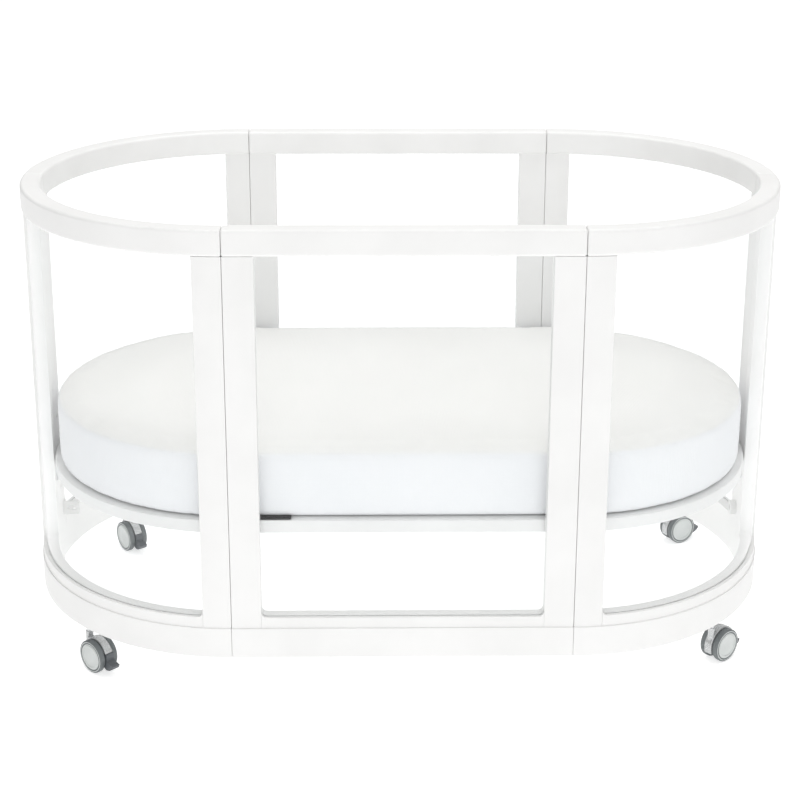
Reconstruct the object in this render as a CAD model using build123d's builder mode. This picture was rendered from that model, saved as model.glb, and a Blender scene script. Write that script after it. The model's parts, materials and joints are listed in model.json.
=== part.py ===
from build123d import *
import os
from math import cos, degrees, radians, sin

# Oval baby crib: two straight and four quarter-round framed clear panels, a mattress on a
# hard base, and four twin-wheel casters with brake pedals.  Millimetres, +Z up, X along
# the length, Y across.  The origin is on the floor, under the middle of the crib.

# ---- plan and heights of the frame --------------------------------------------------
STRAIGHT = 550.0            # length of a straight panel, seam to seam
R_OUT = 356.5               # outer radius of the rounded ends, and half the width
FRAME_Z = 76.0              # underside of the bottom rails
TOP_Z = 790.0               # top of the top rails

# ---- timber sections ----------------------------------------------------------------
TOP_RAIL_T, TOP_RAIL_H = 34.0, 42.0
BOTTOM_RAIL_T, BOTTOM_RAIL_H = 28.0, 52.0
RAIL_ROUND = 5.0            # rounding along the top rail's four edges
FOOT_ROUND = 1.5            # rounding along the bottom rail's edges
END_ROUND = 3.0             # rounding round the end face of a rail
STILE_RECESS = 2.0          # stiles stand back from the outer face of the rails
STILE_T = 26.0
STRAIGHT_STILE_W = 48.0
CURVED_STILE_W = 46.0       # along the arc of the stile's outer face
STILE_ROUND = 1.2
SILL_H = 18.0               # raised step of the bottom rail, between the stiles
WINDOW_CORNER = 9.0         # rounding of the two lower corners of a window
SEAM = 0.6                  # gap between two neighbouring panels

# ---- clear sheets -------------------------------------------------------------------
SHEET_T = 3.0
SHEET_SETBACK = 5.5         # from the stile's outer face to the sheet
GROOVE = 4.0                # how deep the sheet sits in the frame

# ---- joinery ------------------------------------------------------------------------
DOWEL_R, DOWEL_L = 4.0, 40.0
CAM_R, CAM_H = 7.5, 14.0
CAM_PROUD = 1.0             # the cam's face stands this far out of a straight stile
CAM_EDGE = 24.0             # from the seam to the middle of a cam
CAM_SLOT_L, CAM_SLOT_W, CAM_SLOT_DEEP = 9.0, 1.6, 2.0
ROD_R = 3.0
ROD_SETBACK = 7.0           # from the stile's inner face to the rod
CAM_LEVELS = (215.0, 350.0)

# ---- base board, its brackets and the mattress --------------------------------------
BASE_Z, BASE_T, BASE_R = 281.0, 22.0, 325.0
BASE_ROUND = 2.0
MATTRESS_R, MATTRESS_T = 322.0, 113.6
MATTRESS_LIFT = 0.4         # clearance under the loose mattress
MATTRESS_TOP_ROUND, MATTRESS_FOOT_ROUND = 8.0, 5.0
BRACKET_T, BRACKET_W, BRACKET_H, BRACKET_FOOT = 3.0, 40.0, 38.0, 24.0
SCREW_R, SCREW_L = 2.0, 16.0
SCREW_HEAD_R, SCREW_HEAD_H = 3.6, 1.6
SCREW_APART = 20.0
SCREW_DROP = 24.0           # bracket screws, below the base board

# ---- spare fixing points on the end posts -------------------------------------------
FIXING_Z = 170.0
LUG_Y, KNOB_Y = 27.0, 20.0
FIXING_BORE_R, FIXING_DEPTH = 4.0, 12.0
LUG_L, LUG_H, LUG_T, LUG_FOOT = 30.0, 24.0, 4.0, 14.0
LUG_SLOT_L, LUG_SLOT_H = 16.0, 8.0
KNOB_R, KNOB_L, KNOB_ROUND = 13.0, 10.5, 2.0
KNOB_SOCKET_R, KNOB_SOCKET_DEPTH = 5.0, 7.0

# ---- casters ------------------------------------------------------------------------
WHEEL_R = 28.5
TREAD_W = 10.0
WHEEL_IN = 7.8              # from the middle of the caster to a wheel's inner face
RIM_R = 22.3                # where the tyre sits on the hub
TYRE_ROUND = 2.2
DISC_R, DISC_PROUD, DISC_ROUND = 20.6, 1.0, 0.8
DISH_R, DISH_DEEP = 17.8, 0.7
HUB_INSET = 1.2             # hub's inner face, behind the tyre's
AXLE_R = 3.0
AXLE_END = 3.0              # hub thickness left over the axle's end
RUN_FIT = 0.05              # radial clearance of everything that turns
TRAIL = 22.0                # stem axis to wheel axis
HOOD_R = 31.0
HOOD_HALF_W = 7.2
HOOD_FROM, HOOD_TO = 22.0, 200.0    # sector of the hood, from the trailing side over the top
HOOD_ROUND = 1.6
HUB_PLATE_R = 11.0
BOSS_R, BOSS_FOOT, BOSS_TOP = 6.2, 20.0, 64.0
STEM_R = 4.4
STEM_FOOT = 30.0            # lowest point of the stem, inside the housing
STEM_TOP = 110.0
SLEEVE_R, SLEEVE_L = 6.0, 40.0
COLLAR_R, COLLAR_H = 7.2, 1.5
PEDAL_IN, PEDAL_OUT = 17.0, 31.0
PEDAL_LIP_IN = 25.5         # the pedal's upper lip is outside this radius
PEDAL_FROM, PEDAL_SHOULDER, PEDAL_TO = -34.0, 5.0, 20.0
PEDAL_HALF_W = 7.2
TOE = ((68.0, 22.0), (65.0, 16.0), (57.5, 11.5), (49.5, 10.0))  # outline of the toe, side view
TONGUE_HALF_W = 3.4
TONGUE_IN, TONGUE_OUT = 19.0, 26.6
TONGUE_TO = 38.0            # the pedal's tongue ends here, inside the hood
POCKET_IN, POCKET_OUT = 15.0, 28.0  # hollow in the hood, round the tongue
POCKET_TO = 46.0
POCKET_SIDE = 0.2           # clearance at each side of the tongue
PIVOT_R, PIVOT_ANGLE = 24.0, 28.0
TRUNNION_R, TRUNNION_HALF_L = 2.0, 6.6
CASTER_R = R_OUT - BOTTOM_RAIL_T / 2
CASTER_ANGLE = 43.7         # of the stem on its rounded end, from the crib's long axis
# name: side in X, side in Y, and the way the caster trails, in degrees from +X
CASTERS = {
    "front_left": (-1, -1, -44.0),
    "front_right": (1, -1, 40.0),
    "back_left": (-1, 1, -54.0),
    "back_right": (1, 1, 27.0),
}

# ---- worked out ---------------------------------------------------------------------
HALF = STRAIGHT / 2
RAIL_TOP_Z = FRAME_Z + BOTTOM_RAIL_H
SILL_Z = RAIL_TOP_Z + SILL_H
HEAD_Z = TOP_Z - TOP_RAIL_H
STILE_OUT = R_OUT - STILE_RECESS
STILE_IN = STILE_OUT - STILE_T
STILE_MID = (STILE_OUT + STILE_IN) / 2
STILE_H = HEAD_Z - RAIL_TOP_Z
SHEET_OUT = STILE_OUT - SHEET_SETBACK
SHEET_IN = SHEET_OUT - SHEET_T
SHEET_BOTTOM = SILL_Z - GROOVE
SHEET_TOP = HEAD_Z + GROOVE
SILL_BLANK_Z = SILL_Z + WINDOW_CORNER
ROD_AT = STILE_IN + ROD_SETBACK
HALF_SEAM = SEAM / 2
STILE_X = HALF - HALF_SEAM - STRAIGHT_STILE_W / 2
WINDOW_HALF = HALF - HALF_SEAM - STRAIGHT_STILE_W
SIDES = (-1, 1)
UP = (Align.CENTER, Align.CENTER, Align.MIN)

os.makedirs("parts", exist_ok=True)


def save(part, name):
    part.label = name
    export_step(part, f"parts/{name}.step")


def arc(length):
    """Degrees that a length takes along the stiles' outer face."""
    return degrees(length / STILE_OUT)


def polar(sx, angle, radius):
    """Plan position on a rounded end."""
    return (sx * HALF + radius * cos(radians(angle)), radius * sin(radians(angle)))


def section(sx, angle):
    """Upright plane through an end's centre: local x is outward, local y is up."""
    a = radians(angle)
    return Plane(origin=(sx * HALF, 0, 0), x_dir=(cos(a), sin(a), 0), z_dir=(sin(a), -cos(a), 0))


def across(sy, x=0.0):
    """Upright plane across the crib: local x is outward on side sy, local y is up."""
    return Plane(origin=(x, 0, 0), x_dir=(0, sy, 0), z_dir=(sy, 0, 0))


def facing(x, nx, ny):
    """Upright plane that faces out along (nx, ny): local x is sideways, local y is up."""
    return Plane(origin=(x, 0, 0), x_dir=(-ny, nx, 0), z_dir=(nx, ny, 0))


def block(r_in, r_out, z_low, z_high):
    """Rectangle in an upright section."""
    with Locations(((r_in + r_out) / 2, (z_low + z_high) / 2)):
        Rectangle(r_out - r_in, z_high - z_low)


def sheet_section(z_low, z_high):
    block(SHEET_IN, SHEET_OUT, z_low, z_high)


def round_foot(rail):
    """Round the long edges of a bottom rail, except the inner one under the sill."""

    def is_rounded(edge):
        point = edge @ 0.5
        past = max(abs(point.X) - HALF, 0)
        reach = (past**2 + point.Y**2) ** 0.5
        under_sill = abs(reach - (R_OUT - BOTTOM_RAIL_T)) < 1 and point.Z > RAIL_TOP_Z - 1
        return edge.length > HALF and not under_sill

    fillet(rail.edges().filter_by(is_rounded), FOOT_ROUND)


def round_ends(rail, flat_end):
    """Round the edges of a rail's two end faces."""
    ends = rail.faces().filter_by(GeomType.PLANE).filter_by(flat_end)
    fillet(ends.edges(), END_ROUND)


def first_angle(sx, sy):
    """Where a quarter-round panel starts, counter-clockwise from +X."""
    return {(1, 1): 0, (-1, 1): 90, (-1, -1): 180, (1, -1): 270}[sx, sy]


def stem_xy(name):
    sx, sy, _ = CASTERS[name]
    a = radians(CASTER_ANGLE)
    return (sx * (HALF + CASTER_R * cos(a)), sy * CASTER_R * sin(a))


# ---- joining hardware: cams and rods across the six seams, base screws --------------
seams = [facing(sx * HALF, 0, sy) for sx in SIDES for sy in SIDES]
seams += [facing(sx * HALF, sx, 0) for sx in SIDES]
bracket_planes = [facing(sx * STILE_X, 0, sy) for sx in SIDES for sy in SIDES]
bracket_planes += [facing(sx * HALF, sx, 0) for sx in SIDES]

with BuildPart() as rods:
    for sx in SIDES:
        with BuildSketch(Plane.YZ.offset(sx * HALF)):
            with Locations(*[(sy * ROD_AT, z) for sy in SIDES for z in CAM_LEVELS]):
                Circle(ROD_R)
        extrude(amount=CAM_EDGE, both=True)
        with BuildSketch(Plane.XZ):
            with Locations(*[(sx * (HALF + ROD_AT), z) for z in CAM_LEVELS]):
                Circle(ROD_R)
        extrude(amount=CAM_EDGE, both=True)
save(rods.part, "joining_rods")

cam_spots = [(side * CAM_EDGE, z) for side in SIDES for z in CAM_LEVELS]

with BuildPart() as cam_blanks:
    for seam in seams:
        with BuildSketch(seam.offset(STILE_IN - CAM_PROUD)):
            with Locations(*cam_spots):
                Circle(CAM_R)
        extrude(amount=CAM_H)

with BuildPart() as cams:
    add(cam_blanks.part)
    add(rods.part, mode=Mode.SUBTRACT)
    for seam in seams:
        with BuildSketch(seam.offset(STILE_IN - CAM_PROUD)):
            with Locations(*cam_spots):
                Rectangle(CAM_SLOT_L, CAM_SLOT_W)
                Rectangle(CAM_SLOT_W, CAM_SLOT_L)
        extrude(amount=CAM_SLOT_DEEP, mode=Mode.SUBTRACT)
save(cams.part, "joining_cams")

with BuildPart() as screws:
    for plane in bracket_planes:
        spots = [(side * SCREW_APART / 2, BASE_Z - SCREW_DROP) for side in SIDES]
        with BuildSketch(plane.offset(STILE_IN - BRACKET_T)):
            with Locations(*spots):
                Circle(SCREW_HEAD_R)
        extrude(amount=-SCREW_HEAD_H)
        with BuildSketch(plane.offset(STILE_IN - BRACKET_T)):
            with Locations(*spots):
                Circle(SCREW_R)
        extrude(amount=SCREW_L)
        foot = plane.origin + plane.z_dir * (STILE_IN - BRACKET_FOOT / 2)
        with Locations((foot.X, foot.Y, BASE_Z - BRACKET_T - SCREW_HEAD_H)):
            Cylinder(SCREW_HEAD_R, SCREW_HEAD_H, align=UP)
            Cylinder(SCREW_R, SCREW_L + SCREW_HEAD_H, align=UP)
save(screws.part, "base_screws")


def bracket_section():
    block(STILE_IN - BRACKET_FOOT, STILE_IN, BASE_Z - BRACKET_T, BASE_Z)
    block(STILE_IN - BRACKET_T, STILE_IN, BASE_Z - BRACKET_H, BASE_Z)


with BuildPart() as brackets:
    for sx in SIDES:
        for sy in SIDES:
            with BuildSketch(across(sy, sx * STILE_X)):
                bracket_section()
            extrude(amount=BRACKET_W / 2, both=True)
        half_turn = arc(BRACKET_W / 2)
        middle = 0 if sx > 0 else 180
        with BuildSketch(section(sx, middle - half_turn)):
            bracket_section()
        revolve(axis=Axis((sx * HALF, 0, 0), (0, 0, 1)), revolution_arc=2 * half_turn)
    add(screws.part, mode=Mode.SUBTRACT)
save(brackets.part, "base_brackets")

# ---- spare fixing points: a slotted lug at the left end, a round knob at the right ---
with BuildPart() as lug:
    with BuildSketch(Plane.XZ.offset(-LUG_Y)):
        with Locations((-HALF - STILE_IN + LUG_L / 2, FIXING_Z)):
            Rectangle(LUG_L, LUG_H)
        with Locations((-HALF - STILE_IN + LUG_L / 2 + LUG_T / 2, FIXING_Z)):
            SlotOverall(LUG_SLOT_L, LUG_SLOT_H, mode=Mode.SUBTRACT)
    extrude(amount=-LUG_T)
    fillet(lug.edges().filter_by(Axis.Y).group_by(Axis.X)[-1], LUG_T)
    with BuildSketch(facing(-HALF, -1, 0).offset(STILE_IN - LUG_T)):
        with Locations((-LUG_Y - LUG_FOOT / 2, FIXING_Z)):
            Rectangle(LUG_FOOT, LUG_H)
    extrude(amount=LUG_T)
    with BuildSketch(facing(-HALF, -1, 0).offset(STILE_IN - LUG_T / 2)):
        with Locations((-LUG_Y - LUG_FOOT / 2, FIXING_Z)):
            Circle(FIXING_BORE_R)
    extrude(amount=FIXING_DEPTH)

with BuildPart() as knob:
    with BuildSketch(facing(HALF, 1, 0).offset(STILE_IN - KNOB_L)):
        with Locations((KNOB_Y, FIXING_Z)):
            Circle(KNOB_R)
    extrude(amount=KNOB_L)
    fillet(knob.edges().group_by(Axis.X)[0], KNOB_ROUND)
    with BuildSketch(facing(HALF, 1, 0).offset(STILE_IN - KNOB_L)):
        with Locations((KNOB_Y, FIXING_Z)):
            Circle(KNOB_SOCKET_R)
    extrude(amount=KNOB_SOCKET_DEPTH, mode=Mode.SUBTRACT)
    with BuildSketch(facing(HALF, 1, 0).offset(STILE_IN - KNOB_L / 4)):
        with Locations((KNOB_Y, FIXING_Z)):
            Circle(FIXING_BORE_R)
    extrude(amount=FIXING_DEPTH)

# ---- everything that is let into the stiles -----------------------------------------
with BuildPart() as let_in:
    add(cam_blanks.part)
    add(rods.part)
    add(screws.part)

dowel_spots = [(sx * STILE_X, sy * STILE_MID) for sx in SIDES for sy in SIDES]

# ---- straight panels ----------------------------------------------------------------
for side, sy in (("front", -1), ("back", 1)):
    rail_half = HALF - HALF_SEAM
    dowels_here = [(sx * STILE_X, sy * STILE_MID) for sx in SIDES]

    with BuildPart() as opening:
        with BuildSketch(facing(0, 0, sy).offset(STILE_IN - 1)):
            with Locations((0, (SILL_Z + HEAD_Z) / 2)):
                Rectangle(2 * WINDOW_HALF, HEAD_Z - SILL_Z)
        extrude(amount=STILE_T + 2)
        fillet(opening.edges().filter_by(Axis.Y).group_by(Axis.Z)[0], WINDOW_CORNER)

    with BuildPart() as window:
        with BuildSketch(across(sy)):
            sheet_section(SHEET_BOTTOM, SHEET_TOP)
        extrude(amount=WINDOW_HALF + GROOVE, both=True)
    save(window.part, f"{side}_window")

    with BuildPart() as top_rail:
        with BuildSketch(across(sy)):
            with Locations((R_OUT - TOP_RAIL_T / 2, TOP_Z - TOP_RAIL_H / 2)):
                RectangleRounded(TOP_RAIL_T, TOP_RAIL_H, RAIL_ROUND)
        extrude(amount=rail_half, both=True)
        round_ends(top_rail, Axis.X)
        add(window.part, mode=Mode.SUBTRACT)
        with Locations(*[(x, y, HEAD_Z) for x, y in dowels_here]):
            Cylinder(DOWEL_R, DOWEL_L, mode=Mode.SUBTRACT)
    save(top_rail.part, f"{side}_top_rail")

    with BuildPart() as bottom_rail:
        with BuildSketch(across(sy)):
            block(R_OUT - BOTTOM_RAIL_T, R_OUT, FRAME_Z, RAIL_TOP_Z)
        extrude(amount=rail_half, both=True)
        round_foot(bottom_rail)
        with BuildSketch(across(sy)):
            block(STILE_IN, STILE_OUT, RAIL_TOP_Z, SILL_BLANK_Z)
        extrude(amount=WINDOW_HALF, both=True)
        add(opening.part, mode=Mode.SUBTRACT)
        add(window.part, mode=Mode.SUBTRACT)
        with Locations(*[(x, y, RAIL_TOP_Z) for x, y in dowels_here]):
            Cylinder(DOWEL_R, DOWEL_L, mode=Mode.SUBTRACT)
    save(bottom_rail.part, f"{side}_bottom_rail")

    with BuildPart() as stiles:
        with BuildSketch(Plane.XY.offset(RAIL_TOP_Z)):
            with Locations(*dowels_here):
                Rectangle(STRAIGHT_STILE_W, STILE_T)
        extrude(amount=STILE_H)
        fillet(stiles.edges().filter_by(Axis.Z), STILE_ROUND)
        add(window.part, mode=Mode.SUBTRACT)
        add(let_in.part, mode=Mode.SUBTRACT)
        for z in (RAIL_TOP_Z, HEAD_Z):
            with Locations(*[(x, y, z) for x, y in dowels_here]):
                Cylinder(DOWEL_R, DOWEL_L, mode=Mode.SUBTRACT)
    save(stiles.part, f"{side}_stiles")

# ---- quarter-round panels -----------------------------------------------------------
SEAM_ANGLE = arc(HALF_SEAM)
STILE_ANGLE = arc(CURVED_STILE_W)
GROOVE_ANGLE = arc(GROOVE)

for side, (sx, sy, _) in CASTERS.items():
    turn_axis = Axis((sx * HALF, 0, 0), (0, 0, 1))
    start = first_angle(sx, sy) + SEAM_ANGLE
    stop = first_angle(sx, sy) + 90 - SEAM_ANGLE
    glass_from, glass_to = start + STILE_ANGLE, stop - STILE_ANGLE
    stile_middles = (start + STILE_ANGLE / 2, stop - STILE_ANGLE / 2)
    dowels_here = [polar(sx, angle, STILE_MID) for angle in stile_middles]
    dowel_spots += dowels_here

    with BuildPart() as opening:
        with BuildSketch(section(sx, glass_from)):
            block(STILE_IN - 1, STILE_OUT + 1, SILL_Z, HEAD_Z)
        revolve(axis=turn_axis, revolution_arc=glass_to - glass_from)
        corners = opening.edges().filter_by(GeomType.LINE).filter_by(Axis.Z, reverse=True)
        fillet(corners.group_by(Axis.Z)[0], WINDOW_CORNER)

    with BuildPart() as window:
        with BuildSketch(section(sx, glass_from - GROOVE_ANGLE)):
            sheet_section(SHEET_BOTTOM, SHEET_TOP)
        revolve(axis=turn_axis, revolution_arc=glass_to - glass_from + 2 * GROOVE_ANGLE)
    save(window.part, f"{side}_window")

    with BuildPart() as top_rail:
        with BuildSketch(section(sx, start)):
            with Locations((R_OUT - TOP_RAIL_T / 2, TOP_Z - TOP_RAIL_H / 2)):
                RectangleRounded(TOP_RAIL_T, TOP_RAIL_H, RAIL_ROUND)
        revolve(axis=turn_axis, revolution_arc=stop - start)
        round_ends(top_rail, lambda face: abs(face.normal_at().Z) < 0.5)
        add(window.part, mode=Mode.SUBTRACT)
        with Locations(*[(x, y, HEAD_Z) for x, y in dowels_here]):
            Cylinder(DOWEL_R, DOWEL_L, mode=Mode.SUBTRACT)
    save(top_rail.part, f"{side}_top_rail")

    with BuildPart() as bottom_rail:
        with BuildSketch(section(sx, start)):
            block(R_OUT - BOTTOM_RAIL_T, R_OUT, FRAME_Z, RAIL_TOP_Z)
        revolve(axis=turn_axis, revolution_arc=stop - start)
        round_foot(bottom_rail)
        with BuildSketch(section(sx, glass_from)):
            block(STILE_IN, STILE_OUT, RAIL_TOP_Z, SILL_BLANK_Z)
        revolve(axis=turn_axis, revolution_arc=glass_to - glass_from)
        add(opening.part, mode=Mode.SUBTRACT)
        add(window.part, mode=Mode.SUBTRACT)
        with Locations(*[(x, y, RAIL_TOP_Z) for x, y in dowels_here]):
            Cylinder(DOWEL_R, DOWEL_L, mode=Mode.SUBTRACT)
        with Locations((*stem_xy(side), FRAME_Z)):
            Cylinder(SLEEVE_R, SLEEVE_L, align=UP, mode=Mode.SUBTRACT)
    save(bottom_rail.part, f"{side}_bottom_rail")

    with BuildPart() as stiles:
        for edge in (start, glass_to):
            with BuildSketch(section(sx, edge)):
                block(STILE_IN, STILE_OUT, RAIL_TOP_Z, HEAD_Z)
            revolve(axis=turn_axis, revolution_arc=STILE_ANGLE)
        fillet(stiles.edges().filter_by(Axis.Z), STILE_ROUND)
        add(window.part, mode=Mode.SUBTRACT)
        add(let_in.part, mode=Mode.SUBTRACT)
        add(lug.part, mode=Mode.SUBTRACT)
        add(knob.part, mode=Mode.SUBTRACT)
        for z in (RAIL_TOP_Z, HEAD_Z):
            with Locations(*[(x, y, z) for x, y in dowels_here]):
                Cylinder(DOWEL_R, DOWEL_L, mode=Mode.SUBTRACT)
    save(stiles.part, f"{side}_stiles")

save(lug.part, "left_end_slotted_lug")
save(knob.part, "right_end_fixing_knob")

with BuildPart() as dowels:
    with Locations(*[(x, y, z) for x, y in dowel_spots for z in (RAIL_TOP_Z, HEAD_Z)]):
        Cylinder(DOWEL_R, DOWEL_L)
save(dowels.part, "frame_dowels")

# ---- base board and mattress --------------------------------------------------------
with BuildPart() as base_board:
    with BuildSketch(Plane.XY.offset(BASE_Z)):
        SlotCenterToCenter(STRAIGHT, 2 * BASE_R)
    extrude(amount=BASE_T)
    fillet(base_board.edges().group_by(Axis.Z)[-1], BASE_ROUND)
    fillet(base_board.edges().group_by(Axis.Z)[0], BASE_ROUND)
    add(screws.part, mode=Mode.SUBTRACT)
save(base_board.part, "base_board")

with BuildPart() as mattress:
    with BuildSketch(Plane.XY.offset(BASE_Z + BASE_T + MATTRESS_LIFT)):
        SlotCenterToCenter(STRAIGHT, 2 * MATTRESS_R)
    extrude(amount=MATTRESS_T)
    fillet(mattress.edges().group_by(Axis.Z)[-1], MATTRESS_TOP_ROUND)
    fillet(mattress.edges().group_by(Axis.Z)[0], MATTRESS_FOOT_ROUND)
save(mattress.part, "mattress")

# ---- casters ------------------------------------------------------------------------
with BuildPart() as sockets:
    with Locations(*[(*stem_xy(name), FRAME_Z - COLLAR_H) for name in CASTERS]):
        Cylinder(COLLAR_R, COLLAR_H, align=UP)
        Cylinder(SLEEVE_R, SLEEVE_L + COLLAR_H, align=UP)
        Cylinder(STEM_R + RUN_FIT, SLEEVE_L + COLLAR_H, align=UP, mode=Mode.SUBTRACT)
save(sockets.part, "caster_sockets")

# side view of a caster on its stem axis: local x is the way it trails, y is up
side_view = Plane(origin=(0, 0, 0), x_dir=(1, 0, 0), z_dir=(0, -1, 0))


def around_axle(angle, radius):
    """Point of the side view, by angle and distance from the wheel axis."""
    return (TRAIL + radius * cos(radians(angle)), WHEEL_R + radius * sin(radians(angle)))


def pie(from_angle, to_angle, reach):
    """Wedge about the wheel axis, for cutting a disc down to a sector."""
    steps = 10
    angles = [from_angle + (to_angle - from_angle) * i / steps for i in range(steps + 1)]
    rim = [around_axle(angle, 2 * reach) for angle in angles]
    Polygon(around_axle(0, 0), *rim, align=None, mode=Mode.INTERSECT)


AXLE = around_axle(0, 0)
PIVOT = around_axle(PIVOT_ANGLE, PIVOT_R)

with BuildPart() as stem:
    with Locations((0, 0, STEM_FOOT)):
        Cylinder(STEM_R, STEM_TOP - STEM_FOOT, align=UP)
    chamfer(stem.edges().group_by(Axis.Z)[-1], 1.0)

with BuildPart() as axle:
    with BuildSketch(side_view):
        with Locations(AXLE):
            Circle(AXLE_R)
    extrude(amount=WHEEL_IN + TREAD_W - AXLE_END, both=True)

with BuildPart() as housing:
    with BuildSketch(side_view):
        with Locations(AXLE):
            Circle(HOOD_R)
        pie(HOOD_FROM, HOOD_TO, HOOD_R)
        with Locations(AXLE):
            Circle(HUB_PLATE_R)
    extrude(amount=HOOD_HALF_W, both=True)
    rim = housing.edges().filter_by(GeomType.CIRCLE).filter_by(lambda edge: edge.radius > HOOD_R - 1)
    fillet(rim, HOOD_ROUND)
    with Locations((0, 0, BOSS_FOOT)):
        Cylinder(BOSS_R, BOSS_TOP - BOSS_FOOT, align=UP)
    add(stem.part, mode=Mode.SUBTRACT)
    with BuildSketch(side_view):
        with Locations(AXLE):
            Circle(AXLE_R + RUN_FIT)
        with Locations(PIVOT):
            Circle(TRUNNION_R + RUN_FIT)
    extrude(amount=HOOD_R, both=True, mode=Mode.SUBTRACT)
    with BuildSketch(side_view):
        with Locations(AXLE):
            Circle(POCKET_OUT)
        pie(PEDAL_SHOULDER, POCKET_TO, POCKET_OUT)
        with Locations(AXLE):
            Circle(POCKET_IN, mode=Mode.SUBTRACT)
    extrude(amount=TONGUE_HALF_W + POCKET_SIDE, both=True, mode=Mode.SUBTRACT)

with BuildPart() as pedal:
    with BuildSketch(side_view):
        with Locations(AXLE):
            Circle(PEDAL_OUT)
        pie(PEDAL_FROM, PEDAL_SHOULDER, PEDAL_OUT)
        Polygon(around_axle(-2, PEDAL_OUT - 2), *TOE, around_axle(PEDAL_FROM, PEDAL_IN + 2), align=None)
        with Locations(AXLE):
            Circle(PEDAL_IN, mode=Mode.SUBTRACT)
    extrude(amount=PEDAL_HALF_W, both=True)
    with BuildSketch(side_view):
        with Locations(AXLE):
            Circle(PEDAL_OUT)
        pie(PEDAL_SHOULDER - 5, PEDAL_TO, PEDAL_OUT)
        with Locations(AXLE):
            Circle(PEDAL_LIP_IN, mode=Mode.SUBTRACT)
    extrude(amount=PEDAL_HALF_W, both=True)
    with BuildSketch(side_view):
        with Locations(AXLE):
            Circle(TONGUE_OUT)
        pie(PEDAL_SHOULDER - 5, TONGUE_TO, PEDAL_OUT)
        with Locations(AXLE):
            Circle(TONGUE_IN, mode=Mode.SUBTRACT)
    extrude(amount=TONGUE_HALF_W, both=True)
    with BuildSketch(side_view):
        with Locations(PIVOT):
            Circle(TRUNNION_R)
    extrude(amount=TRUNNION_HALF_L, both=True)

with BuildPart() as tyres:
    for hand in SIDES:
        with BuildSketch(side_view.offset(hand * WHEEL_IN)):
            with Locations(AXLE):
                Circle(WHEEL_R)
                Circle(RIM_R, mode=Mode.SUBTRACT)
        extrude(amount=hand * TREAD_W)
    tread = tyres.edges().filter_by(GeomType.CIRCLE).filter_by(lambda edge: edge.radius > WHEEL_R - 1)
    fillet(tread, TYRE_ROUND)

with BuildPart() as hubs:
    for hand in SIDES:
        with BuildSketch(side_view.offset(hand * (WHEEL_IN + HUB_INSET))):
            with Locations(AXLE):
                Circle(RIM_R)
        extrude(amount=hand * (TREAD_W - HUB_INSET))
        with BuildSketch(side_view.offset(hand * (WHEEL_IN + TREAD_W))):
            with Locations(AXLE):
                Circle(DISC_R)
        extrude(amount=hand * DISC_PROUD)
        disc_edge = hubs.edges().filter_by(GeomType.CIRCLE).filter_by(lambda edge: edge.radius < RIM_R - 1)
        fillet(disc_edge.sort_by(Axis.Y)[-1 if hand < 0 else 0], DISC_ROUND)
        with BuildSketch(side_view.offset(hand * (WHEEL_IN + TREAD_W + DISC_PROUD))):
            with Locations(AXLE):
                Circle(DISH_R)
        extrude(amount=-hand * DISH_DEEP, mode=Mode.SUBTRACT)
    add(axle.part, mode=Mode.SUBTRACT)

for name in CASTERS:
    place = Location((*stem_xy(name), 0), (0, 0, CASTERS[name][2]))
    pieces = {"stem": stem, "axle": axle, "housing": housing, "pedal": pedal}
    pieces |= {"tyres": tyres, "hubs": hubs}
    for piece, built in pieces.items():
        with BuildPart() as placed:
            with Locations(place):
                add(built.part)
        save(placed.part, f"{name}_caster_{piece}")
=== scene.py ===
import bpy, bmesh, json, math
from mathutils import Matrix, Vector


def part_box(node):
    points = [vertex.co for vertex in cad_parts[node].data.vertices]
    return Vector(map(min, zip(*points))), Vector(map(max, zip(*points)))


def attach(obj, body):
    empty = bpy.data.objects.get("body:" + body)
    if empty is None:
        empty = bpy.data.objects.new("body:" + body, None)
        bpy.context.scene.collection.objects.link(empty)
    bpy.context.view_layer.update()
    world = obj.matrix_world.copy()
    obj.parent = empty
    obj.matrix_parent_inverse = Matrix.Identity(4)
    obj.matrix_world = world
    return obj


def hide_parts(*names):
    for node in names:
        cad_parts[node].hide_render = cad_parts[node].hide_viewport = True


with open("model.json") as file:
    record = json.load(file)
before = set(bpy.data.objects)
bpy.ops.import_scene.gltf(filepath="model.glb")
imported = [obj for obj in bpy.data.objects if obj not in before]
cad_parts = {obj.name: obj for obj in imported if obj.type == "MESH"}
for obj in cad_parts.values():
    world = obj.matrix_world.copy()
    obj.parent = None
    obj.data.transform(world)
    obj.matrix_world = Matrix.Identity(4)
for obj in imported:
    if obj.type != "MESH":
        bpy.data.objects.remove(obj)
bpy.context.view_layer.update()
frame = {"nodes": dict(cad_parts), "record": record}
NODES = frame["nodes"]
CORNERS = ("front_left", "front_right", "back_left", "back_right")
HALF = 0.275                # the two end centres stand this far from the middle
KNIT_PITCH = 0.0024         # width of one stitch of the mattress cover
scene = bpy.context.scene


# ---- materials ----------------------------------------------------------------------
def new_material(name):
    mat = bpy.data.materials.new(name)
    mat.use_nodes = True
    return mat, mat.node_tree, mat.node_tree.nodes["Principled BSDF"]


def noise(tree, scale, detail=4.0, rough=0.5, stretch=(1, 1, 1)):
    """Noise in object coordinates, in metres; stretch squeezes it along an axis."""
    coords = tree.nodes.new("ShaderNodeTexCoord")
    mapping = tree.nodes.new("ShaderNodeMapping")
    mapping.inputs["Scale"].default_value = stretch
    tex = tree.nodes.new("ShaderNodeTexNoise")
    tex.inputs["Scale"].default_value = scale
    tex.inputs["Detail"].default_value = detail
    tex.inputs["Roughness"].default_value = rough
    tree.links.new(coords.outputs["Object"], mapping.inputs["Vector"])
    tree.links.new(mapping.outputs["Vector"], tex.inputs["Vector"])
    return tex.outputs["Fac"]


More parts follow.
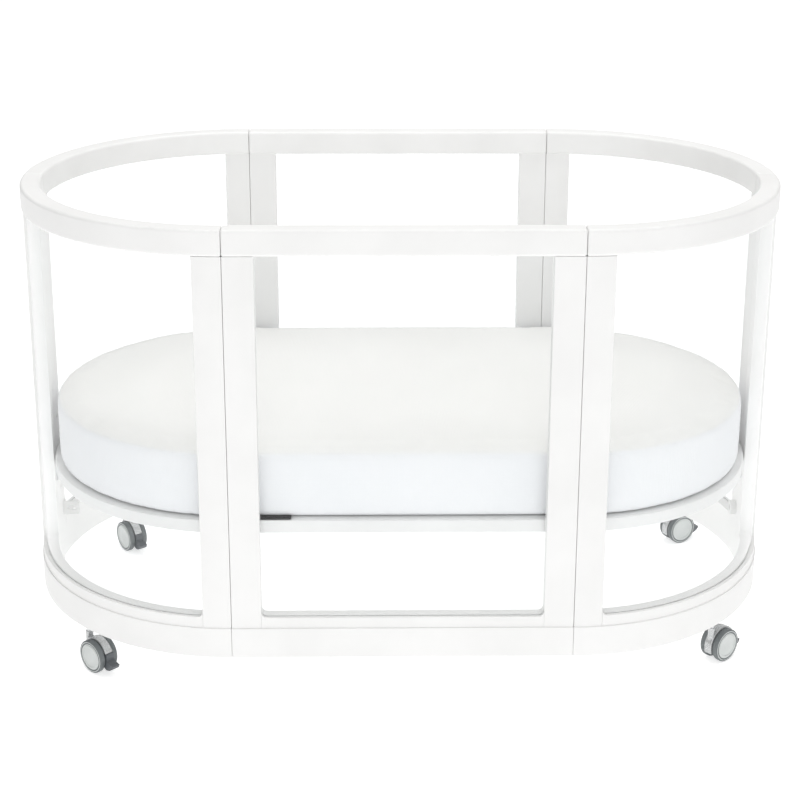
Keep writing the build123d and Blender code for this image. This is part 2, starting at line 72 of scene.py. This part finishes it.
def ramp(tree, fac, low, high, start=0.35, end=0.65):
    node = tree.nodes.new("ShaderNodeValToRGB")
    node.color_ramp.elements[0].position = start
    node.color_ramp.elements[1].position = end
    node.color_ramp.elements[0].color = (*low, 1) if len(low) == 3 else low
    node.color_ramp.elements[1].color = (*high, 1) if len(high) == 3 else high
    tree.links.new(fac, node.inputs["Fac"])
    return node.outputs["Color"]


def grey(value):
    return (value, value, value)


def bump(tree, height, strength, distance, normal=None):
    node = tree.nodes.new("ShaderNodeBump")
    node.inputs["Strength"].default_value = strength
    node.inputs["Distance"].default_value = distance
    tree.links.new(height, node.inputs["Height"])
    if normal is not None:
        tree.links.new(normal, node.inputs["Normal"])
    return node.outputs["Normal"]


def painted_wood():
    mat, tree, bsdf = new_material("white_painted_wood")
    broad = noise(tree, 9.0, 3.0)
    paint = ramp(tree, broad, (0.872, 0.870, 0.862), (0.905, 0.903, 0.896))
    tree.links.new(paint, bsdf.inputs["Base Color"])
    fine = noise(tree, 420.0, 3.0, 0.6)
    grain = noise(tree, 60.0, 5.0, 0.65, (0.25, 0.25, 4.0))
    tree.links.new(ramp(tree, fine, grey(0.36), grey(0.48)), bsdf.inputs["Roughness"])
    skin = bump(tree, fine, 0.10, 0.0004)
    tree.links.new(bump(tree, grain, 0.06, 0.0006, skin), bsdf.inputs["Normal"])
    bsdf.inputs["Coat Weight"].default_value = 0.15
    bsdf.inputs["Coat Roughness"].default_value = 0.25
    return mat


def bare_wood():
    mat, tree, bsdf = new_material("beech")
    grain = noise(tree, 90.0, 6.0, 0.7, (1, 1, 0.08))
    timber = ramp(tree, grain, (0.52, 0.33, 0.17), (0.68, 0.48, 0.28))
    tree.links.new(timber, bsdf.inputs["Base Color"])
    tree.links.new(bump(tree, grain, 0.2, 0.0005), bsdf.inputs["Normal"])
    bsdf.inputs["Roughness"].default_value = 0.6
    return mat


def clear_plastic():
    mat, tree, bsdf = new_material("clear_sheet")
    bsdf.inputs["Base Color"].default_value = (1, 1, 1, 1)
    bsdf.inputs["Metallic"].default_value = 1.0
    wobble = noise(tree, 5.0, 2.0)
    tree.links.new(ramp(tree, wobble, grey(0.03), grey(0.06)), bsdf.inputs["Roughness"])
    tree.links.new(bump(tree, wobble, 0.04, 0.002), bsdf.inputs["Normal"])
    clear = tree.nodes.new("ShaderNodeBsdfTransparent")
    smear = noise(tree, 14.0, 3.0)
    tint = ramp(tree, smear, (0.988, 0.993, 0.994), (0.992, 0.996, 0.997))
    tree.links.new(tint, clear.inputs["Color"])
    fresnel = tree.nodes.new("ShaderNodeFresnel")
    fresnel.inputs["IOR"].default_value = 1.38
    # only the two outward faces mirror; the way back out of the sheet is clear
    side = tree.nodes.new("ShaderNodeNewGeometry")
    outward = tree.nodes.new("ShaderNodeMath")
    outward.operation = "SUBTRACT"
    outward.inputs[0].default_value = 1.0
    tree.links.new(side.outputs["Backfacing"], outward.inputs[1])
    share = tree.nodes.new("ShaderNodeMath")
    share.operation = "MULTIPLY"
    tree.links.new(fresnel.outputs["Fac"], share.inputs[0])
    tree.links.new(outward.outputs[0], share.inputs[1])
    mix = tree.nodes.new("ShaderNodeMixShader")
    out = tree.nodes["Material Output"]
    tree.links.new(share.outputs[0], mix.inputs["Fac"])
    tree.links.new(clear.outputs["BSDF"], mix.inputs[1])
    tree.links.new(bsdf.outputs["BSDF"], mix.inputs[2])
    tree.links.new(mix.outputs["Shader"], out.inputs["Surface"])
    return mat


def moulded(name, low, high, rough, metal=0.0, grain=900.0, depth=0.12):
    mat, tree, bsdf = new_material(name)
    tree.links.new(ramp(tree, noise(tree, 40.0, 3.0), low, high), bsdf.inputs["Base Color"])
    fine = noise(tree, grain, 2.0)
    gloss = ramp(tree, fine, grey(rough - 0.05), grey(rough + 0.07))
    tree.links.new(gloss, bsdf.inputs["Roughness"])
    tree.links.new(bump(tree, fine, depth, 0.0003), bsdf.inputs["Normal"])
    bsdf.inputs["Metallic"].default_value = metal
    return mat


def mattress_cloth():
    mat, tree, bsdf = new_material("mattress_cover")
    coords = tree.nodes.new("ShaderNodeTexCoord")
    split = tree.nodes.new("ShaderNodeSeparateXYZ")
    tree.links.new(coords.outputs["Object"], split.inputs["Vector"])
    # knitted cover: one fine wave along each axis, added together
    threads = []
    for axis in ("X", "Y", "Z"):
        wave = tree.nodes.new("ShaderNodeMath")
        wave.operation = "MULTIPLY"
        wave.inputs[1].default_value = 2 * math.pi / KNIT_PITCH
        tree.links.new(split.outputs[axis], wave.inputs[0])
        sine = tree.nodes.new("ShaderNodeMath")
        sine.operation = "SINE"
        tree.links.new(wave.outputs[0], sine.inputs[0])
        threads.append(sine.outputs[0])
    knit = threads[0]
    for other in threads[1:]:
        add = tree.nodes.new("ShaderNodeMath")
        add.operation = "ADD"
        tree.links.new(knit, add.inputs[0])
        tree.links.new(other, add.inputs[1])
        knit = add.outputs[0]
    cloud = noise(tree, 4.0, 4.0, 0.55)
    # painted light on one cover: the top ramp is darker and warmer as painted shade under the warm
    # top light, the side ramp lighter and cooler as painted front light
    top = ramp(tree, cloud, (0.895, 0.890, 0.872), (0.925, 0.920, 0.903))
    side = ramp(tree, cloud, (0.925, 0.932, 0.950), (0.950, 0.956, 0.970))
    # the boxed side gets a cooler, lighter white than the top; the two are blended by how far the
    # surface faces up, so the painted light follows the turn from top to side
    surface = tree.nodes.new("ShaderNodeNewGeometry")
    upward = tree.nodes.new("ShaderNodeSeparateXYZ")
    tree.links.new(surface.outputs["Normal"], upward.inputs["Vector"])
    share = tree.nodes.new("ShaderNodeMapRange")
    share.inputs["From Min"].default_value = 0.35
    share.inputs["From Max"].default_value = 0.90
    tree.links.new(upward.outputs["Z"], share.inputs["Value"])
    mix = tree.nodes.new("ShaderNodeMix")
    mix.data_type = "RGBA"
    tree.links.new(share.outputs["Result"], mix.inputs["Factor"])
    tree.links.new(side, mix.inputs["A"])
    tree.links.new(top, mix.inputs["B"])
    tree.links.new(mix.outputs["Result"], bsdf.inputs["Base Color"])
    weave = bump(tree, knit, 0.25, 0.0003)
    soft = bump(tree, noise(tree, 30.0, 4.0), 0.12, 0.002, weave)
    tree.links.new(soft, bsdf.inputs["Normal"])
    bsdf.inputs["Roughness"].default_value = 0.85
    bsdf.inputs["Sheen Weight"].default_value = 0.25
    bsdf.inputs["Sheen Roughness"].default_value = 0.5
    bsdf.inputs["Specular IOR Level"].default_value = 0.25
    return mat


MATERIALS = {
    "painted_wood": painted_wood(),
    "bare_wood": bare_wood(),
    "clear_plastic": clear_plastic(),
    "mattress_cloth": mattress_cloth(),
    "tyre_rubber": moulded(
        "tyre", (0.125, 0.140, 0.145), (0.165, 0.180, 0.185), 0.50, grain=500.0, depth=0.25),
    "hub_plastic": moulded("hub", (0.62, 0.645, 0.635), (0.67, 0.695, 0.685), 0.35),
    "silver_plastic": moulded(
        "silver_housing", (0.50, 0.51, 0.515), (0.58, 0.59, 0.595), 0.22, metal=0.6),
    "dark_plastic": moulded("dark_plastic", (0.085, 0.095, 0.105), (0.110, 0.120, 0.130), 0.42),
    "strap_web": moulded(
        "strap_web", (0.012, 0.012, 0.014), (0.020, 0.020, 0.022), 0.75, grain=700.0, depth=0.3),
    "white_plastic": moulded("white_plastic", (0.80, 0.80, 0.79), (0.84, 0.84, 0.83), 0.35),
    "steel": moulded(
        "zinc_steel", (0.60, 0.61, 0.62), (0.70, 0.71, 0.72), 0.28, metal=1.0, grain=700.0),
}
for part in frame["record"]["subparts"]:
    for own in NODES[part["node"]].material_slots:
        own.material = MATERIALS[part["material_slot"]]


# ---- mattress -----------------------------------------------------------------------
def stadium(radius, steps):
    """Outline of the oval, counter-clockwise, with the end arcs cut into equal steps."""
    points = []
    for sx, start in ((1, -90), (-1, 90)):
        for i in range(steps + 1):
            a = math.radians(start + 180 * i / steps)
            points.append((sx * HALF + radius * math.cos(a), radius * math.sin(a)))
    return points


def link_mesh(name, bm, material):
    mesh = bpy.data.meshes.new(name)
    bm.to_mesh(mesh)
    bm.free()
    mesh.materials.append(material)
    for poly in mesh.polygons:
        poly.use_smooth = True
    obj = bpy.data.objects.new(name, mesh)
    scene.collection.objects.link(obj)
    return obj


def loft(bm, rings):
    """Closed body through rings of the same number of points, low to high."""
    made = [[bm.verts.new(point) for point in ring] for ring in rings]
    for low, high in zip(made, made[1:]):
        for i in range(len(low)):
            j = (i + 1) % len(low)
            bm.faces.new((low[i], low[j], high[j], high[i]))
    bm.faces.new(made[-1])
    bm.faces.new(list(reversed(made[0])))


def apply_modifiers(obj):
    mesh = bpy.data.meshes.new_from_object(obj.evaluated_get(bpy.context.evaluated_depsgraph_get()))
    obj.modifiers.clear()
    obj.data = mesh


mat_lo, mat_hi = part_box("mattress")
MAT_R = (mat_hi.y - mat_lo.y) / 2
FOOT = mat_lo.z + 0.0006      # underside of the soft pad
ARC_STEPS = 36                # steps round each end of the pad
GIVE = 0.0004                 # the pad may press this far past its plan outline
CROWN_GIVE = 0.006            # and this far above its tallest height
# inset from the CAD outline and height above the foot, up the side and over the top edge
PROFILE = (
    (0.005, 0.000), (0.0015, 0.002), (0.0003, 0.006), (0.0, 0.030), (0.0, 0.060),
    (0.0, 0.090), (0.0003, 0.103), (0.0018, 0.1085), (0.0060, 0.1112), (0.016, 0.1128),
    (0.045, 0.1150), (0.090, 0.1172), (0.150, 0.1186),
)
bm = bmesh.new()
loft(bm, [[(x, y, FOOT + rise) for x, y in stadium(MAT_R - inset, ARC_STEPS)]
          for inset, rise in PROFILE])
pad = link_mesh("mattress_pad", bm, MATERIALS["mattress_cloth"])


CLOTH_FRAMES = 20


def swell(obj, voxel, pressure, cap):
    """Fills a soft piece with air by a short cloth simulation and applies the result."""
    remesh = obj.modifiers.new("remesh", "REMESH")
    remesh.mode = "VOXEL"
    remesh.voxel_size = voxel
    apply_modifiers(obj)
    start = [v.co.copy() for v in obj.data.vertices]
    cloth = obj.modifiers.new("cloth", "CLOTH")
    cloth.settings.use_pressure = True
    cloth.settings.uniform_pressure_force = pressure
    cloth.settings.effector_weights.gravity = 0
    cloth.settings.quality = 4
    cloth.settings.tension_stiffness = 12
    cloth.settings.compression_stiffness = 12
    cloth.settings.bending_stiffness = 1.5
    cloth.collision_settings.use_collision = False
    cloth.point_cache.frame_start = 1
    cloth.point_cache.frame_end = CLOTH_FRAMES
    for at in range(1, CLOTH_FRAMES + 1):
        scene.frame_set(at)
    apply_modifiers(obj)
    scene.frame_set(1)
    for vertex, rest in zip(obj.data.vertices, start):
        move = vertex.co - rest
        if move.length > cap:
            vertex.co = rest + move.normalized() * cap


def settle(obj):
    """Keeps the pad on its board, inside the frame and under its tallest height."""
    for vertex in obj.data.vertices:
        x, y, z = vertex.co
        past = max(abs(x) - HALF, 0.0)
        reach = math.hypot(past, y)
        limit = MAT_R + GIVE
        if reach > limit:
            shrink = limit / reach
            x = math.copysign(min(abs(x), HALF) + past * shrink, x)
            y *= shrink
        vertex.co = (x, y, min(max(z, FOOT), mat_hi.z + CROWN_GIVE))


swell(pad, voxel=0.007, pressure=4.0, cap=0.006)
settle(pad)
smooth = pad.modifiers.new("smooth", "SUBSURF")
smooth.levels = smooth.render_levels = 1
apply_modifiers(pad)
settle(pad)
for poly in pad.data.polygons:
    poly.use_smooth = True
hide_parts("mattress")
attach(pad, "mattress")

# end of a dark woven strap that peeps out under the front of the mattress
STRAP_X0, STRAP_X1 = -0.236, -0.178
STRAP_Y0 = -MAT_R - 0.0003    # its front edge, which stays clear of the front rail
STRAP_Y1 = STRAP_Y0 + 0.03
STRAP_Z = (FOOT - 0.0004, FOOT + 0.0026)
outline = ((STRAP_X0, STRAP_Y0), (STRAP_X1, STRAP_Y0), (STRAP_X1, STRAP_Y1), (STRAP_X0, STRAP_Y1))
bm = bmesh.new()
loft(bm, [[(x, y, z) for x, y in outline] for z in STRAP_Z])
strap = link_mesh("mattress_strap_end", bm, MATERIALS["strap_web"])
soften = strap.modifiers.new("soften", "BEVEL")
soften.width = 0.0008
soften.segments = 3
apply_modifiers(strap)
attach(strap, "mattress")

# ---- painted highlights: pale rings where light catches the edge of each tyre's outer side wall ---
HIGHLIGHT_R, HIGHLIGHT_THICK = 0.0254, 0.00035
WALL = 0.0178               # from the middle of a caster to a tyre's outer side wall
ROUND, SECTION = 48, 8      # steps round a line, and round its section
JOINTS = {joint["name"]: joint for joint in frame["record"]["behaviour"]["joints"]}
for corner in CORNERS:
    roll = JOINTS[f"{corner}_roll"]
    centre, along = Vector(roll["pos_m"]), Vector(roll["axis"]).normalized()
    turn = along.to_track_quat("Z", "Y").to_matrix().to_4x4()
    bm = bmesh.new()
    for hand in (-1, 1):
        rings = []
        for i in range(ROUND):
            a = 2 * math.pi * i / ROUND
            ring = []
            for j in range(SECTION):
                b = 2 * math.pi * j / SECTION
                reach = HIGHLIGHT_R + 2 * HIGHLIGHT_THICK * math.cos(b)
                aside = hand * WALL + HIGHLIGHT_THICK * math.sin(b)
                ring.append((reach * math.cos(a), reach * math.sin(a), aside))
            rings.append([bm.verts.new(point) for point in ring])
        for i in range(ROUND):
            for j in range(SECTION):
                k, m = (i + 1) % ROUND, (j + 1) % SECTION
                bm.faces.new((rings[i][j], rings[k][j], rings[k][m], rings[i][m]))
    bmesh.ops.recalc_face_normals(bm, faces=bm.faces)
    bm.transform(Matrix.Translation(centre) @ turn)
    # a thin ring of pale hub plastic, a painted highlight on the edge of the tyre's side wall
    highlight_ring = link_mesh(f"{corner}_tyre_edge_highlights", bm, MATERIALS["hub_plastic"])
    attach(highlight_ring, f"{corner}_wheels")

# ---- floor, light and camera --------------------------------------------------------
FLOOR_HALF = 14.0           # half the side of the square floor
FLOOR_GLOW = 0.61           # the floor's own light, which bleaches it to white
bm = bmesh.new()
bmesh.ops.create_grid(bm, x_segments=2, y_segments=2, size=FLOOR_HALF)
mesh = bpy.data.meshes.new("floor")
bm.to_mesh(mesh)
bm.free()
floor = bpy.data.objects.new("floor", mesh)
scene.collection.objects.link(floor)
mat, tree, bsdf = new_material("floor")
tree.links.new(ramp(tree, noise(tree, 0.6, 2.0), grey(0.74), grey(0.76)), bsdf.inputs["Base Color"])
bsdf.inputs["Roughness"].default_value = 0.9
bsdf.inputs["Emission Color"].default_value = (1, 1, 1, 1)
bsdf.inputs["Emission Strength"].default_value = FLOOR_GLOW
mesh.materials.append(mat)

world = bpy.data.worlds.new("studio")
world.use_nodes = True
sky = world.node_tree
# a pale studio, dimmer to both sides and dimmest on the left
facing = sky.nodes.new("ShaderNodeTexCoord")
across = sky.nodes.new("ShaderNodeSeparateXYZ")
spread = sky.nodes.new("ShaderNodeMapRange")
spread.inputs["From Min"].default_value = -1.0
sky.links.new(facing.outputs["Generated"], across.inputs["Vector"])
sky.links.new(across.outputs["X"], spread.inputs["Value"])
tones = sky.nodes.new("ShaderNodeValToRGB")
tones.color_ramp.elements[0].color = (0.22, 0.22, 0.217, 1)
tones.color_ramp.elements[1].color = (0.28, 0.28, 0.277, 1)
middle = tones.color_ramp.elements.new(0.52)
middle.color = (0.80, 0.80, 0.80, 1)
sky.links.new(spread.outputs["Result"], tones.inputs["Fac"])
sky.links.new(tones.outputs["Color"], sky.nodes["Background"].inputs["Color"])
scene.world = world
scene.view_settings.view_transform = "Standard"


def area_light(name, at, target, size, power, colour=(1, 1, 1)):
    data = bpy.data.lights.new(name, "AREA")
    data.shape = "RECTANGLE"
    data.size, data.size_y = size
    data.energy = power
    data.color = colour
    light = bpy.data.objects.new(name, data)
    light.location = at
    light.rotation_euler = (Vector(target) - Vector(at)).to_track_quat("-Z", "Y").to_euler()
    scene.collection.objects.link(light)


area_light("front", (0.5, -9.0, 3.0), (0, 0, 0.4), (7.0, 4.0), 112, (0.98, 0.99, 1.0))
area_light("top", (0.1, 0.2, 3.9), (0, 0, 0.4), (4.0, 3.0), 70, (1.0, 0.995, 0.985))

PITCH, YAW, ROLL = 0.3233868, 0.01602806, 0.00298343
EYE = (-0.0484, -2.9997, 1.5190)
FOCAL_RATIO = 1835.82 / 800   # focal length over the picture's width
SHIFT_Y = -70 / 800           # how far the picture is shifted, over its width
SENSOR = 36
cam_data = bpy.data.cameras.new("camera")
cam_data.sensor_width = SENSOR
cam_data.lens = SENSOR * FOCAL_RATIO
cam_data.shift_y = SHIFT_Y
cam = bpy.data.objects.new("camera", cam_data)
cam.matrix_world = (
    Matrix.Translation(EYE)
    @ Matrix.Rotation(-YAW, 4, "Z")
    @ Matrix.Rotation(math.pi / 2 - PITCH, 4, "X")
    @ Matrix.Rotation(ROLL, 4, "Z")
)
scene.collection.objects.link(cam)
scene.camera = cam
